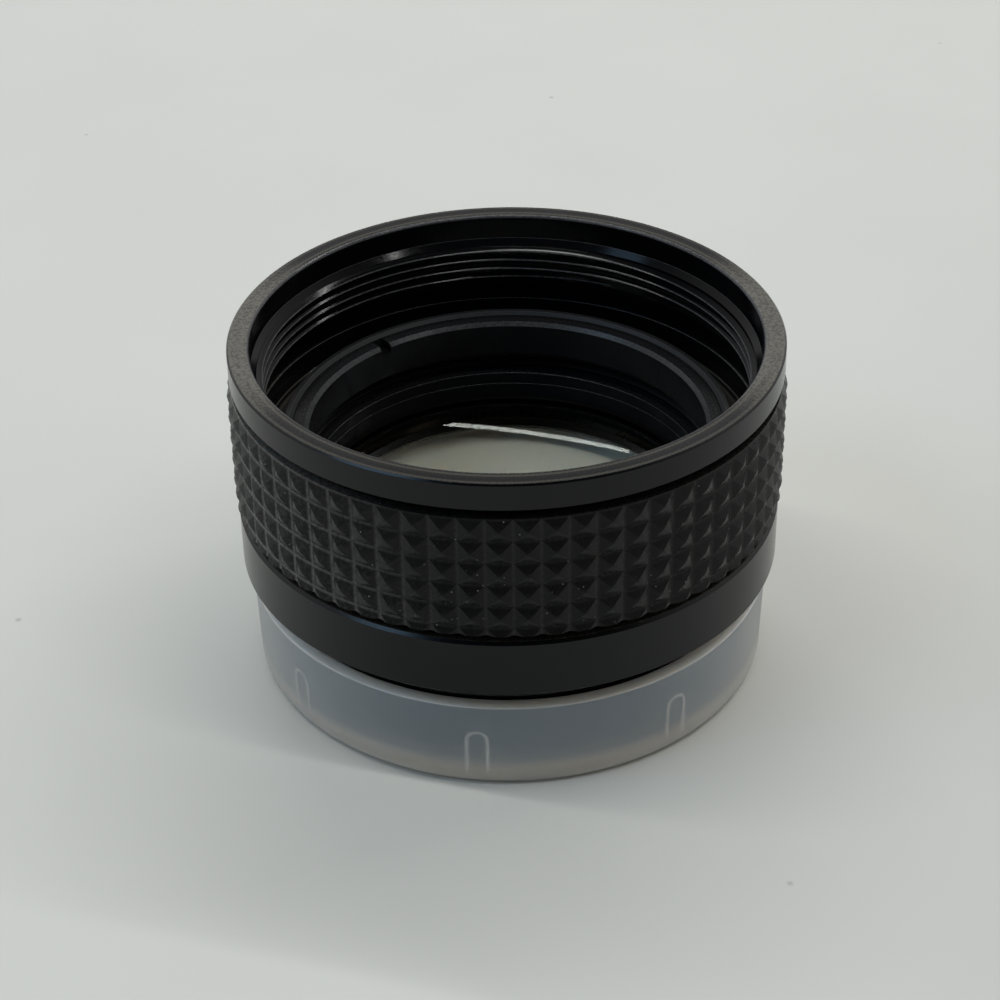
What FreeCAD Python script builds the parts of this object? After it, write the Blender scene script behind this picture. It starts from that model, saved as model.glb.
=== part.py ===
import FreeCAD, Part
import math
import os

os.makedirs("parts", exist_ok=True)

# Telescope focal reducer, standing on its dust cap as it is put down on a table.
# All sizes are in millimetres and degrees. The optical axis is the Z axis, +Z looks
# towards the telescope, and z = 0 is the underside of the dust cap.
# The turns of a thread are closed rings here, one pitch apart.

# Both threads are the 2 inch, 24 turns per inch thread of telescope backs, with flat crests
thread_r = 25.4
thread_pitch = 25.4 / 24
thread_depth = 0.57
thread_flank_angle = 30.0
thread_crest = thread_pitch / 8

# Dust cap
cap_height = 9.9
cap_wall = 1.83
cap_draft = 0.31
cap_floor = 1.2
cap_foot_round = 1.0
cap_inner_round = 0.5
cap_lip_round = 0.3
cap_lead_width = 0.35
cap_lead_depth = 0.6
cap_to_thread = 0.1
rib_count = 8
rib_first_angle = -52.4
rib_width = 2.35
rib_top_z = 6.2
rib_proud = 0.7
rib_to_nose = 0.15
rib_to_thread_end = 0.1

# Outside of the barrel, from the nose up
nose_length = 3.1
nose_chamfer = 0.3
nose_wall = 1.4
camera_thread_length = 5.1
camera_thread_turns = 5
undercut_length = 1.0
undercut_depth = 0.8
band_over_thread = 2.85
lower_band_height = 6.2
lower_band_chamfer = 0.3
flange_chamfer = 0.1
grip_recess_depth = 1.25
upper_band_height = 3.0
upper_band_chamfer = 0.2
rim_chamfer = 0.1

# Inside of the barrel, from the rim down; the cuts are deeper than the thread by these
mouth_length = 2.7
mouth_over_thread = 0.6
mouth_chamfer = 0.35
telescope_thread_length = 4.7
telescope_thread_turns = 4
telescope_thread_start = 0.5
relief_length = 2.8
relief_over_thread = 0.7
trench_length = 2.5
trench_over_thread = 0.5
nose_lip_thickness = 2.0
nose_lip_over_shoulder = 0.8
nose_lip_chamfer = 0.7

# Rubber grip
grip_height = 13.3
grip_groove = 0.9
grip_proud = 0.4
grip_on_recess = 0.05
pyramids_around = 66
pyramid_first_angle = 3.46
pyramid_pitch = 2.5
pyramid_depth = 0.8

# Lens cell
cell_in_barrel = 0.05
cell_chamfer = 0.2
cell_mouth_chamfer = 0.35
cell_wall = 0.9
cell_thread_depth = 0.6
cell_thread_lap = 0.9
cell_shoulder_width = 1.7
cell_shoulder_thickness = 3.3
ring_in_thread = 0.05

# Lens elements, counted from the mouth
lens_in_bore = 0.1
lens_seat_width = 1.7
crown_edge = 1.0
flint_edge = 2.6
outer_face_curve = 100.0
rear_face_curve = 86.0
cement_curve = 120.0
inner_face_curve = 500.0
spacer_height = 1.2
spacer_width = 1.3

# Rings over the lenses
pressure_ring_height = 1.7
pressure_ring_width = 1.15
pressure_ring_in_cell = 0.15
retaining_ring_height = 1.3
retaining_ring_width = 1.75
retaining_slot_angle = 5.0
retaining_slot_depth = 0.6
lock_ring_gap = 2.4
lock_ring_height = 3.9
lock_ring_below_rim = 0.4
lock_ring_width = 1.65
lock_ring_chamfer = 0.4
lock_ring_slot_angle = 129.5
lock_ring_slot_depth = 1.0
spanner_slot_width = 1.3

# Levels that follow from the sizes above, all from the dust cap up
thread_end_z = rib_top_z + rib_to_thread_end
nose_z = thread_end_z - nose_length
undercut_z = thread_end_z + camera_thread_length
flange_z = undercut_z + undercut_length
recess_z = flange_z + lower_band_height
grip_bottom_z = recess_z + grip_groove
grip_top_z = grip_bottom_z + grip_height
upper_band_z = grip_top_z + grip_groove
rim_z = upper_band_z + upper_band_height
mouth_end_z = rim_z - mouth_length
thread_root_z = mouth_end_z - telescope_thread_length
relief_z = thread_root_z - relief_length
trench_z = relief_z - trench_length
cell_seat_z = nose_z + nose_lip_thickness
lens_seat_z = cell_seat_z + cell_shoulder_thickness
rear_cement_z = lens_seat_z + crown_edge
spacer_z = rear_cement_z + flint_edge
front_flint_z = spacer_z + spacer_height
front_cement_z = front_flint_z + flint_edge
lens_top_z = front_cement_z + crown_edge
retaining_ring_z = lens_top_z + pressure_ring_height
lock_ring_z = retaining_ring_z + retaining_ring_height + lock_ring_gap
lock_ring_top_z = lock_ring_z + lock_ring_height
cell_top_z = lock_ring_top_z + lock_ring_below_rim

# Radii that follow from a neighbour and a clearance, from the thread in and out
cap_bore_r = thread_r + cap_to_thread
cap_lip_r = cap_bore_r + cap_wall
cap_foot_r = cap_lip_r - cap_draft
rib_inner_r = cap_bore_r - rib_proud
nose_r = rib_inner_r - rib_to_nose
undercut_r = thread_r - undercut_depth
band_r = thread_r + band_over_thread
grip_recess_r = band_r - grip_recess_depth
grip_bore_r = grip_recess_r + grip_on_recess
grip_apex_r = band_r + grip_proud
grip_valley_r = grip_apex_r - pyramid_depth
mouth_r = thread_r + mouth_over_thread
relief_r = thread_r + relief_over_thread
trench_r = thread_r + trench_over_thread
cell_seat_r = nose_r - nose_wall
cell_r = cell_seat_r - cell_in_barrel
cell_thread_r = cell_r - cell_wall
cell_bore_r = cell_thread_r - cell_thread_depth
cell_shoulder_r = cell_bore_r - cell_shoulder_width
nose_lip_r = cell_shoulder_r + nose_lip_over_shoulder
lens_r = cell_bore_r - lens_in_bore
lens_clear_r = lens_r - lens_seat_width
spacer_bore_r = lens_r - spacer_width
pressure_ring_r = cell_bore_r - pressure_ring_in_cell
pressure_ring_bore_r = pressure_ring_r - pressure_ring_width
ring_thread_r = cell_thread_r - ring_in_thread
retaining_ring_bore_r = ring_thread_r - retaining_ring_width
lock_ring_bore_r = ring_thread_r - lock_ring_width

origin = FreeCAD.Vector(0, 0, 0)
up = FreeCAD.Vector(0, 0, 1)


def on_section(r, z):
    """A point of a half section: radius r, height z."""
    return FreeCAD.Vector(r, 0, z)


def at_angle(r, angle, z):
    """A point at a radius, a polar angle in degrees and a height."""
    turn = math.radians(angle)
    return FreeCAD.Vector(r * math.cos(turn), r * math.sin(turn), z)


def turned(section):
    """Turns a closed half section, a list of (radius, height) corners, about the axis."""
    corners = [on_section(r, z) for r, z in section]
    wire = Part.makePolygon(corners + corners[:1])
    return Part.Face(wire).revolve(origin, up, 360)


def turned_edges(edges):
    """Turns a closed half section made of lines and arcs about the axis."""
    wire = Part.Wire(edges)
    return Part.Face(wire).revolve(origin, up, 360)


def line(start, end):
    return Part.LineSegment(on_section(*start), on_section(*end)).toShape()


def quarter_round(start, end, centre):
    """A round corner of a section, from start to end about its centre."""
    radius = math.dist(start, centre)
    middle_r = (start[0] + end[0]) / 2 - centre[0]
    middle_z = (start[1] + end[1]) / 2 - centre[1]
    reach = radius / math.hypot(middle_r, middle_z)
    middle = on_section(centre[0] + middle_r * reach, centre[1] + middle_z * reach)
    return Part.Arc(on_section(*start), middle, on_section(*end)).toShape()


def radial_slots(first_angle, inner_r, outer_r, bottom_z, top_z, width):
    """Two straight slots across a ring, opposite each other, for a pin spanner."""
    length = outer_r - inner_r
    slots = []
    for angle in (first_angle, first_angle + 180):
        slot = Part.makeBox(length, width, top_z - bottom_z, FreeCAD.Vector(inner_r, -width / 2, bottom_z))
        slot.rotate(origin, up, angle)
        slots.append(slot)
    return slots


def thread_turns(root_r, crest_r, first_z, turns, way):
    """Corners of a thread's turns, listed upwards (way 1) or downwards (way -1)."""
    half_crest = thread_crest / 2
    half_root = half_crest + abs(crest_r - root_r) * math.tan(math.radians(thread_flank_angle))
    corners = []
    for turn in range(turns):
        z = first_z + way * turn * thread_pitch
        corners.append((root_r, z - way * half_root))
        corners.append((crest_r, z - way * half_crest))
        corners.append((crest_r, z + way * half_crest))
        corners.append((root_r, z + way * half_root))
    return corners


def make_barrel():
    """Housing, turned from one bar: bands, grip recess, flange, both threads and nose."""
    lead = mouth_r - thread_r
    thread_minor_r = thread_r - thread_depth
    half_turn = thread_crest / 2 + thread_depth * math.tan(math.radians(thread_flank_angle))
    camera_turns = thread_turns(thread_minor_r, thread_r, thread_end_z + half_turn, camera_thread_turns, 1)
    top_turn_z = thread_root_z + telescope_thread_start + (telescope_thread_turns - 1) * thread_pitch
    telescope_turns = thread_turns(thread_r, thread_minor_r, top_turn_z, telescope_thread_turns, -1)
    return turned([
        (nose_lip_r + nose_lip_chamfer, nose_z),
        (nose_r - nose_chamfer, nose_z),
        (nose_r, nose_z + nose_chamfer),
        (nose_r, thread_end_z),
        *camera_turns,
        (thread_minor_r, undercut_z),
        (undercut_r, undercut_z),
        (undercut_r, flange_z),
        (band_r - flange_chamfer, flange_z),
        (band_r, flange_z + flange_chamfer),
        (band_r, recess_z - lower_band_chamfer),
        (band_r - lower_band_chamfer, recess_z),
        (grip_recess_r, recess_z),
        (grip_recess_r, upper_band_z),
        (band_r - upper_band_chamfer, upper_band_z),
        (band_r, upper_band_z + upper_band_chamfer),
        (band_r, rim_z - rim_chamfer),
        (band_r - rim_chamfer, rim_z),
        (mouth_r + mouth_chamfer, rim_z),
        (mouth_r, rim_z - mouth_chamfer),
        (mouth_r, mouth_end_z),
        (thread_r, mouth_end_z - lead),
        *telescope_turns,
        (thread_r, thread_root_z),
        (relief_r, thread_root_z),
        (relief_r, relief_z),
        (trench_r, relief_z),
        (trench_r, trench_z),
        (cell_seat_r, trench_z),
        (cell_seat_r, cell_seat_z),
        (nose_lip_r, cell_seat_z),
        (nose_lip_r, nose_z + nose_lip_chamfer),
    ])


def make_lens_cell():
    """Turned tube that holds the glass: shoulder at the bottom, ring thread at the top."""
    thread_bottom_z = lens_top_z - cell_thread_lap
    return turned([
        (cell_shoulder_r, cell_seat_z),
        (cell_r - cell_chamfer, cell_seat_z),
        (cell_r, cell_seat_z + cell_chamfer),
        (cell_r, cell_top_z - cell_chamfer),
        (cell_r - cell_chamfer, cell_top_z),
        (cell_thread_r + cell_mouth_chamfer, cell_top_z),
        (cell_thread_r, cell_top_z - cell_mouth_chamfer),
        (cell_thread_r, thread_bottom_z),
        (cell_bore_r, thread_bottom_z),
        (cell_bore_r, lens_seat_z),
        (cell_shoulder_r, lens_seat_z),
    ])


def plain_ring(inner_r, outer_r, bottom_z, height):
    return turned([
        (inner_r, bottom_z),
        (outer_r, bottom_z),
        (outer_r, bottom_z + height),
        (inner_r, bottom_z + height),
    ])


def make_retaining_ring():
    """Threaded ring that clamps the glass, with two spanner slots in its top face."""
    ring = plain_ring(retaining_ring_bore_r, ring_thread_r, retaining_ring_z, retaining_ring_height)
    top_z = retaining_ring_z + retaining_ring_height
    slots = radial_slots(retaining_slot_angle, retaining_ring_bore_r - spanner_slot_width,
                         ring_thread_r + spanner_slot_width, top_z - retaining_slot_depth,
                         top_z + retaining_slot_depth, spanner_slot_width)
    return ring.cut(slots)


def make_lock_ring():
    """Deep threaded ring at the mouth of the cell, bevelled inside, with two spanner slots."""
    ring = turned([
        (lock_ring_bore_r, lock_ring_z),
        (ring_thread_r, lock_ring_z),
        (ring_thread_r, lock_ring_top_z),
        (lock_ring_bore_r + lock_ring_chamfer, lock_ring_top_z),
        (lock_ring_bore_r, lock_ring_top_z - lock_ring_chamfer),
    ])
    slots = radial_slots(lock_ring_slot_angle, lock_ring_bore_r - spanner_slot_width,
                         ring_thread_r + spanner_slot_width, lock_ring_top_z - lock_ring_slot_depth,
                         lock_ring_top_z + lock_ring_slot_depth, spanner_slot_width)
    return ring.cut(slots)


def sag(curve, r):
    """Depth of a spherical face of that radius of curvature at a distance from the axis."""
    return curve - math.sqrt(curve * curve - r * r)


def spherical_face(edge_z, edge_r, curve, side):
    """Section arc from the axis out to the edge; side 1 bulges up, side -1 bulges down."""
    pole = on_section(0, edge_z + side * sag(curve, edge_r))
    half_r = edge_r / 2
    half_z = edge_z + side * (sag(curve, edge_r) - sag(curve, half_r))
    return Part.Arc(pole, on_section(half_r, half_z), on_section(edge_r, edge_z)).toShape()


def make_lens(bottom_z, bottom_r, bottom_curve, bottom_side, top_z, top_r, top_curve, top_side):
    """One glass element; a face that stops short of the edge has a flat ground seat round it."""
    edges = [spherical_face(bottom_z, bottom_r, bottom_curve, bottom_side)]
    if bottom_r < lens_r:
        edges.append(line((bottom_r, bottom_z), (lens_r, bottom_z)))
    edges.append(line((lens_r, bottom_z), (lens_r, top_z)))
    if top_r < lens_r:
        edges.append(line((lens_r, top_z), (top_r, top_z)))
    edges.append(spherical_face(top_z, top_r, top_curve, top_side))
    bottom_pole = bottom_z + bottom_side * sag(bottom_curve, bottom_r)
    top_pole = top_z + top_side * sag(top_curve, top_r)
    edges.append(line((0, top_pole), (0, bottom_pole)))
    return turned_edges(Part.sortEdges(edges)[0])


def make_front_crown():
    return make_lens(front_cement_z, lens_r, cement_curve, -1,
                     lens_top_z, lens_clear_r, outer_face_curve, 1)


def make_front_flint():
    return make_lens(front_flint_z, lens_clear_r, inner_face_curve, -1,
                     front_cement_z, lens_r, cement_curve, -1)


def make_rear_flint():
    return make_lens(rear_cement_z, lens_r, cement_curve, 1,
                     spacer_z, lens_clear_r, inner_face_curve, 1)


def make_rear_crown():
    return make_lens(lens_seat_z, lens_clear_r, rear_face_curve, -1,
                     rear_cement_z, lens_r, cement_curve, 1)


def make_rib():
    """Upright rib with an arched top, in the plane that faces +X, run into the cap's wall."""
    half = rib_width / 2
    root_r = (cap_bore_r + cap_foot_r) / 2
    shoulder_z = rib_top_z - half
    foot_z = cap_floor / 2
    arch = Part.Arc(FreeCAD.Vector(rib_inner_r, half, shoulder_z),
                    FreeCAD.Vector(rib_inner_r, 0, rib_top_z),
                    FreeCAD.Vector(rib_inner_r, -half, shoulder_z)).toShape()
    sides = Part.makePolygon([FreeCAD.Vector(rib_inner_r, -half, shoulder_z),
                              FreeCAD.Vector(rib_inner_r, -half, foot_z),
                              FreeCAD.Vector(rib_inner_r, half, foot_z),
                              FreeCAD.Vector(rib_inner_r, half, shoulder_z)])
    outline = Part.Wire([arch] + sides.Edges)
    return Part.Face(outline).extrude(FreeCAD.Vector(root_r - rib_inner_r, 0, 0))


def make_dust_cap():
    """Moulded cap: drafted wall, lip with a lead inside, round foot and eight ribs inside."""
    draft = (cap_lip_r - cap_foot_r) / (cap_height - cap_foot_round)
    lip_outer_r = cap_lip_r - draft * cap_lip_round
    edges = [
        line((0, 0), (cap_foot_r - cap_foot_round, 0)),
        quarter_round((cap_foot_r - cap_foot_round, 0), (cap_foot_r, cap_foot_round),
                      (cap_foot_r - cap_foot_round, cap_foot_round)),
        line((cap_foot_r, cap_foot_round), (lip_outer_r, cap_height - cap_lip_round)),
        line((lip_outer_r, cap_height - cap_lip_round), (lip_outer_r - cap_lip_round, cap_height)),
        line((lip_outer_r - cap_lip_round, cap_height), (cap_bore_r + cap_lead_width, cap_height)),
        line((cap_bore_r + cap_lead_width, cap_height), (cap_bore_r, cap_height - cap_lead_depth)),
        line((cap_bore_r, cap_height - cap_lead_depth), (cap_bore_r, cap_floor + cap_inner_round)),
        quarter_round((cap_bore_r, cap_floor + cap_inner_round), (cap_bore_r - cap_inner_round, cap_floor),
                      (cap_bore_r - cap_inner_round, cap_floor + cap_inner_round)),
        line((cap_bore_r - cap_inner_round, cap_floor), (0, cap_floor)),
        line((0, cap_floor), (0, 0)),
    ]
    cap = turned_edges(edges)
    ribs = []
    for number in range(rib_count):
        rib = make_rib()
        rib.rotate(origin, up, rib_first_angle + number * 360 / rib_count)
        ribs.append(rib)
    return cap.fuse(ribs).removeSplitter()


def cut_off_below(corners, floor_z):
    """The part of a flat polygon that lies above a level."""
    kept = []
    for here, after in zip(corners, corners[1:] + corners[:1]):
        if here.z >= floor_z:
            kept.append(here)
        if (here.z - floor_z) * (after.z - floor_z) < 0:
            share = (here.z - floor_z) / (here.z - after.z)
            kept.append(here + (after - here) * share)
    return kept


def make_rubber_grip():
    """Moulded band with rows of square pyramids; the lowest row is cut short by the band's edge."""
    rows = math.ceil(grip_height / pyramid_pitch - 1e-6)
    step = 360 / pyramids_around
    first = -90 + pyramid_first_angle
    faces = []
    bottom_rim = []
    for column in range(pyramids_around):
        middle = first + column * step
        left = middle - step / 2
        right = middle + step / 2
        for row in range(rows):
            high_z = grip_top_z - row * pyramid_pitch
            low_z = high_z - pyramid_pitch
            apex = at_angle(grip_apex_r, middle, (high_z + low_z) / 2)
            base = [at_angle(grip_valley_r, left, low_z), at_angle(grip_valley_r, right, low_z),
                    at_angle(grip_valley_r, right, high_z), at_angle(grip_valley_r, left, high_z)]
            for side in range(4):
                facet = cut_off_below([base[side], base[(side + 1) % 4], apex], grip_bottom_z)
                if len(facet) > 2:
                    faces.append(Part.Face(Part.makePolygon(facet + facet[:1])))
        bottom_rim.append(at_angle(grip_valley_r, left, grip_bottom_z))
        cut_depth = (low_z + pyramid_pitch - grip_bottom_z) / (pyramid_pitch / 2)
        if cut_depth < 1:
            for base_angle in (left, right):
                corner = at_angle(grip_valley_r, base_angle, high_z)
                bottom_rim.append(corner + (apex - corner) * cut_depth)
        elif cut_depth < 2:
            for base_angle in (left, right):
                corner = at_angle(grip_valley_r, base_angle, low_z)
                bottom_rim.append(corner + (apex - corner) * (2 - cut_depth))
    top_rim = [at_angle(grip_valley_r, first + (column - 0.5) * step, grip_top_z)
               for column in range(pyramids_around)]
    faces.append(Part.Face(Part.makePolygon(bottom_rim + bottom_rim[:1])).reversed())
    faces.append(Part.Face(Part.makePolygon(top_rim + top_rim[:1])))
    skin = Part.makeShell(faces)
    skin.sewShape()
    bore = Part.makeCylinder(grip_bore_r, grip_height, FreeCAD.Vector(0, 0, grip_bottom_z))
    return Part.makeSolid(skin).cut(bore)


pieces = {
    "barrel": make_barrel(),
    "rubber_grip": make_rubber_grip(),
    "lens_cell": make_lens_cell(),
    "front_lock_ring": make_lock_ring(),
    "lens_retaining_ring": make_retaining_ring(),
    "pressure_ring": plain_ring(pressure_ring_bore_r, pressure_ring_r, lens_top_z, pressure_ring_height),
    "front_crown_lens": make_front_crown(),
    "front_flint_lens": make_front_flint(),
    "lens_spacer": plain_ring(spacer_bore_r, lens_r, spacer_z, spacer_height),
    "rear_flint_lens": make_rear_flint(),
    "rear_crown_lens": make_rear_crown(),
    "dust_cap": make_dust_cap(),
}

for name, shape in pieces.items():
    shape.exportStep("parts/" + name + ".step")
    box = shape.optimalBoundingBox(False, False)
    print(name, shape.isValid(), len(shape.Solids), round(shape.Volume, 1),
          [round(value, 2) for value in (box.XMin, box.XMax, box.YMin, box.YMax, box.ZMin, box.ZMax)])
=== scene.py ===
import math
import random

import bmesh
import bpy
import numpy as np
from mathutils import Matrix, Vector


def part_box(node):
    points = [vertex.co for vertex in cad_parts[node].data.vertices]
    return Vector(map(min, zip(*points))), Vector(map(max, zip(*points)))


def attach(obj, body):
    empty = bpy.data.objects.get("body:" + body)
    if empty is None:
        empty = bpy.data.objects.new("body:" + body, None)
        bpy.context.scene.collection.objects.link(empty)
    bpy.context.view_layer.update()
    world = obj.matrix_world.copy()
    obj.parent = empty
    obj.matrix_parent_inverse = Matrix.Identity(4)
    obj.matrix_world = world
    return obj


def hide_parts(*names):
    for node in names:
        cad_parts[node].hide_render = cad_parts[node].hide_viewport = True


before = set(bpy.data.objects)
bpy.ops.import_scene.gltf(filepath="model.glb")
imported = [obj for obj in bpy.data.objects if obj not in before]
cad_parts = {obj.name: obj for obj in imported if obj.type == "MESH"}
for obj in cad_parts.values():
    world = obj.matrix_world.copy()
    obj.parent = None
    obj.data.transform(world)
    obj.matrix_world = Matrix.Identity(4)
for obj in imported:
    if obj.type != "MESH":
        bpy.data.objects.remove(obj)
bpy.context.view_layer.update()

scene = bpy.context.scene
scene.view_settings.view_transform = "Standard"
mm = 0.001

# Camera
# A phone lens held in front of the part and above it, a little tilted. The stand point and the
# three small turns were fitted to the photographed rings of the mouth, bands and cap.

rim_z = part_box("barrel")[1].z
camera_distance = 244.24 * mm
camera_height_angle = 29.546
camera_pitch = 3.979
camera_yaw = -0.206
camera_roll = 0.852
camera_lens = 86.72
camera_sensor = 36.0

camera = bpy.data.objects.new("camera", bpy.data.cameras.new("camera"))
scene.collection.objects.link(camera)
scene.camera = camera
camera.data.lens = camera_lens
camera.data.sensor_width = camera_sensor
camera.data.clip_start = 1 * mm
camera_turns = ((90 - camera_height_angle, "X"), (-camera_yaw, "Y"),
                (-camera_pitch, "X"), (-camera_roll, "Z"))
aim = Matrix.Identity(4)
for turn, axis in camera_turns:
    aim = aim @ Matrix.Rotation(math.radians(turn), 4, axis)
height_angle = math.radians(camera_height_angle)
stand = Vector((0, -math.cos(height_angle), math.sin(height_angle))) * camera_distance
stand.z += rim_z
camera.matrix_world = Matrix.Translation(stand) @ aim

# Table and light
# A pale laminate table top, smooth with a soft sheen, under an office ceiling. One row of tube
# lamps runs almost overhead and one further back; a dim window shows blue sky to the left.
# The room is brighter behind the part and at its sides than in front and straight overhead.

table_pale = "#D6D7D2"
table_grey = "#CECFCA"
table_speck = "#9A9C98"
# Painted shade on the table: the side it darkens towards, and by how much at most.
table_painted_shade_towards = Vector((0.85, -0.5, 0))
table_painted_shade_depth = 0.115
table_size = 6.0
table_mottle = 40 * mm
table_grain = 0.4 * mm
speck_spacing = 9 * mm
room_back = 0.46
room_front = 0.22
room_zenith = 0.15
room_sides = 1.7
shade_towards = Vector((0.05, -0.56, 0.83))
room_shade = 0.12
tube_turn = -17.0
tube_height = 1.5
tube_length = 2.4
tube_width = 0.07
tube_white = (1.0, 1.0, 0.98)
tube_rows = ((-0.041, -0.084, 12.0), (0.470, 0.963, 17.8))  # metres aside, metres behind, watts
window_azimuth = math.radians(-154.0)
window_height = math.radians(48.0)
window_distance = 1.5
window_size = (0.6, 0.4)
window_watts = 2.4
sky_blue = (0.42, 0.70, 1.0)


def linear(code):
    """A hex colour as linear red, green, blue and alpha."""
    parts = [int(code[start:start + 2], 16) / 255 for start in (1, 3, 5)]
    return tuple(p / 12.92 if p <= 0.04045 else ((p + 0.055) / 1.055) ** 2.4 for p in parts) + (1.0,)


def add(tree, kind, feeds=None, **settings):
    """Adds a node; feeds sets its inputs, or links them to a node's first output or a socket."""
    made = tree.nodes.new(kind)
    for name, value in settings.items():
        setattr(made, name, value)
    for name, value in (feeds or {}).items():
        if isinstance(value, bpy.types.Node):
            value = value.outputs[0]
        if isinstance(value, bpy.types.NodeSocket):
            tree.links.new(value, made.inputs[name])
        else:
            made.inputs[name].default_value = value
    return made


def new_material(name):
    """An empty node material and its tree."""
    material = bpy.data.materials.new(name)
    material.use_nodes = True
    material.node_tree.nodes.clear()
    return material, material.node_tree


def laminate():
    """Pale table laminate: faint mottling, a fine grain in the sheen, a few specks of dust, and a painted
    shade that darkens it a little towards the right and front.
    """
    material, tree = new_material("table_laminate")
    place_in = add(tree, "ShaderNodeTexCoord").outputs["Object"]
    mottle = add(tree, "ShaderNodeTexNoise", {"Vector": place_in, "Scale": 1 / table_mottle, "Detail": 3.0})
    colour = add(tree, "ShaderNodeMix", {0: mottle, 6: linear(table_pale), 7: linear(table_grey)},
                 data_type="RGBA")
    # Painted shade: the laminate is painted a little darker towards the right and front, as a soft shadow.
    aside = add(tree, "ShaderNodeVectorMath", {0: place_in, 1: table_painted_shade_towards},
                operation="DOT_PRODUCT").outputs["Value"]
    painted_shade_amount = add(tree, "ShaderNodeMapRange", {0: aside, 1: -0.03, 2: 0.11, 3: 0.0, 4: table_painted_shade_depth},
              interpolation_type="SMOOTHSTEP")
    colour = add(tree, "ShaderNodeMix", {0: painted_shade_amount, 6: colour.outputs[2], 7: (0, 0, 0, 1)}, data_type="RGBA")
    speck = add(tree, "ShaderNodeTexVoronoi", {"Vector": place_in, "Scale": 1 / speck_spacing})
    near = add(tree, "ShaderNodeMapRange", {0: speck.outputs["Distance"], 1: 0.02, 2: 0.05, 3: 0.55, 4: 0.0})
    pick = add(tree, "ShaderNodeSeparateColor", {0: speck.outputs["Color"]})
    few = add(tree, "ShaderNodeMath", {0: pick.outputs[0], 1: 0.85}, operation="GREATER_THAN")
    dust = add(tree, "ShaderNodeMath", {0: near, 1: few}, operation="MULTIPLY")
    colour = add(tree, "ShaderNodeMix", {0: dust, 6: colour.outputs[2], 7: linear(table_speck)},
                 data_type="RGBA")
    grain = add(tree, "ShaderNodeTexNoise", {"Vector": place_in, "Scale": 1 / table_grain, "Detail": 2.0})
    bump = add(tree, "ShaderNodeBump", {"Height": grain, "Strength": 0.05, "Distance": 0.02 * mm})
    surface = add(tree, "ShaderNodeBsdfPrincipled", {"Base Color": colour.outputs[2], "Roughness": 0.62,
                                                     "IOR": 1.45, "Normal": bump})
    add(tree, "ShaderNodeOutputMaterial", {"Surface": surface})
    return material


half = table_size / 2
table_mesh = bpy.data.meshes.new("table")
table_corners = [(-half, -half, 0), (half, -half, 0), (half, half, 0), (-half, half, 0)]
table_mesh.from_pydata(table_corners, [], [(0, 1, 2, 3)])
table = bpy.data.objects.new("table", table_mesh)
scene.collection.objects.link(table)
table.data.materials.append(laminate())

world = bpy.data.worlds.new("room")
world.use_nodes = True
scene.world = world
room = world.node_tree
room.nodes.clear()
way = add(room, "ShaderNodeTexCoord").outputs["Generated"]
towards = add(room, "ShaderNodeSeparateXYZ", {0: way})
depth = add(room, "ShaderNodeMapRange", {0: towards.outputs["Y"], 1: -0.65, 2: 0.25, 3: room_front,
                                         4: room_back}, interpolation_type="SMOOTHSTEP")
high = add(room, "ShaderNodeMapRange", {0: towards.outputs["Z"], 1: 0.50, 2: 0.85, 3: 1.0, 4: room_zenith},
           interpolation_type="SMOOTHSTEP")
level = add(room, "ShaderNodeMath", {0: depth, 1: high}, operation="MULTIPLY")
aside = add(room, "ShaderNodeMath", {0: towards.outputs["X"]}, operation="ABSOLUTE")
aside = add(room, "ShaderNodeMapRange", {0: aside, 1: 0.25, 2: 0.85, 3: 1.0, 4: room_sides},
            interpolation_type="SMOOTHSTEP")
level = add(room, "ShaderNodeMath", {0: level, 1: aside}, operation="MULTIPLY")
lean = add(room, "ShaderNodeVectorMath", {0: way, 1: shade_towards},
           operation="DOT_PRODUCT").outputs["Value"]
shade = add(room, "ShaderNodeMapRange", {0: lean, 1: 0.72, 2: 0.92, 3: 1.0, 4: room_shade},
            interpolation_type="SMOOTHSTEP")
level = add(room, "ShaderNodeMath", {0: level, 1: shade}, operation="MULTIPLY")
background = add(room, "ShaderNodeBackground", {"Color": level, "Strength": 1.0})
add(room, "ShaderNodeOutputWorld", {"Surface": background})


def lamp(name, spot, length, width, watts, colour, turn):
    """A flat rectangular lamp at a spot in metres; turn is its rotation in radians."""
    light = bpy.data.lights.new(name, "AREA")
    light.shape = "RECTANGLE"
    light.size = length
    light.size_y = width
    light.energy = watts
    light.color = colour
    made = bpy.data.objects.new(name, light)
    scene.collection.objects.link(made)
    made.location = spot
    made.rotation_euler = turn


for row, (aside, behind, watts) in enumerate(tube_rows):
    lamp(f"tube_row_{row}", (aside, behind, tube_height), tube_length, tube_width, watts, tube_white,
         (0, 0, math.radians(tube_turn)))
window_spot = Vector((math.cos(window_azimuth) * math.cos(window_height),
                      math.sin(window_azimuth) * math.cos(window_height),
                      math.sin(window_height))) * window_distance
lamp("sky_window", window_spot, *window_size, window_watts, sky_blue,
     (-window_spot).to_track_quat("-Z", "Y").to_euler())

# Barrel
# The housing: one piece of aluminium, turned all over and anodised satin black. The threaded
# mouth takes the telescope, the nose with the outside thread takes the camera. A section's
# corners are (r, z, radius of the corner, edge mark), in mm, anticlockwise from the bottom inside.
# The edge mark paints an edge paler: partly real abrasion, partly a painted highlight.

anodised_black = "#070709"
anodised_grey = "#0B0C0E"
# Paler edge colours: partly abrasion of the dye, partly a painted highlight along the edges.
anodised_edge_and_highlight = "#7C7D80"
thread_crest_and_highlight = "#5A5B5D"
turned_line = "#504D45"
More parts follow.
